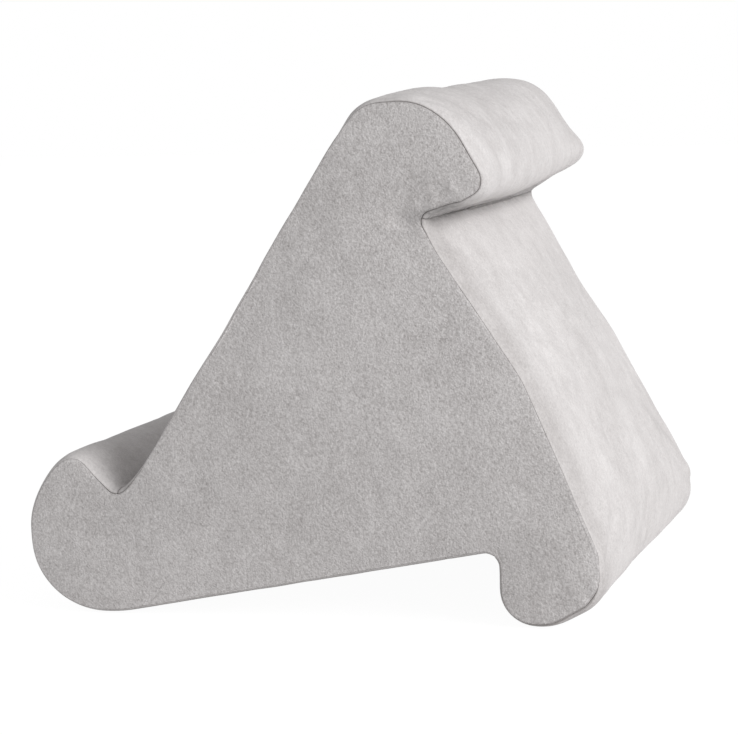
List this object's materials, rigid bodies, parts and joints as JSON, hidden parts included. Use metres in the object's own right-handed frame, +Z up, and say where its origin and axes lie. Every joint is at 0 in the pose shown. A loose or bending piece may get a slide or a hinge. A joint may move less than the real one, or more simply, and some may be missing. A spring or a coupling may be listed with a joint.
{
  "type": "tablet stand",
  "caption": "Soft wedge pillow stand with three lipped faces to lean a tablet on, in a sewn suede cover with a zip underneath.",
  "frame": {"origin": "on the floor, under the middle of the stand's bounding box", "axes": "+X across the width towards the right end panel, +Y from the front lip to the rear foot, +Z up; the tablet leans on the -Y side"},
  "size_m": [0.24, 0.273, 0.2385],
  "materials": {
    "suede": "short-pile grey faux suede with a mottled nap",
    "foam": "open-cell polyurethane foam, off-white",
    "zip_tape": "woven polyester tape, grey",
    "zip_coil": "nylon coil, grey",
    "thread": "polyester sewing thread, darker grey",
    "zip_metal": "grey lacquered zinc alloy",
    "label": "white satin ribbon, blank"
  },
  "bodies": {
    "cushion": {"foam_core": "foam", "end_panel_right": "suede", "end_panel_left": "suede", "wrap_front": "suede", "wrap_back": "suede", "wrap_base": "suede", "wrap_zip_strip": "suede", "seam_thread_right": "thread", "seam_thread_left": "thread", "ledge_seam_thread": "thread", "hook_seam_thread": "thread", "foot_seam_thread": "thread", "zip_stitch_front": "thread", "zip_stitch_rear": "thread", "zip_tape_front": "zip_tape", "zip_tape_rear": "zip_tape", "zip_coil_front": "zip_coil", "zip_coil_rear": "zip_coil", "zip_top_stop_front": "zip_metal", "zip_top_stop_rear": "zip_metal", "zip_bottom_stop": "zip_metal", "care_label": "label"},
    "slider": {"zip_slider": "zip_metal"},
    "pull_tab": {"zip_pull_tab": "zip_metal"}
  },
  "joints": [
    {"name": "zip_travel", "type": "slide", "parent": "cushion", "child": "slider", "axis": [1, 0, 0], "range_m": [0, 0.19], "deforming": ["zip_coil_front", "zip_coil_rear"]},
    {"name": "pull_tab_hinge", "type": "hinge", "parent": "slider", "child": "pull_tab", "pos_m": [-0.0988, 0.05817, 0.02526], "axis": [0, 0.9825, 0.1864], "range_deg": [-80, 80]}
  ]
}
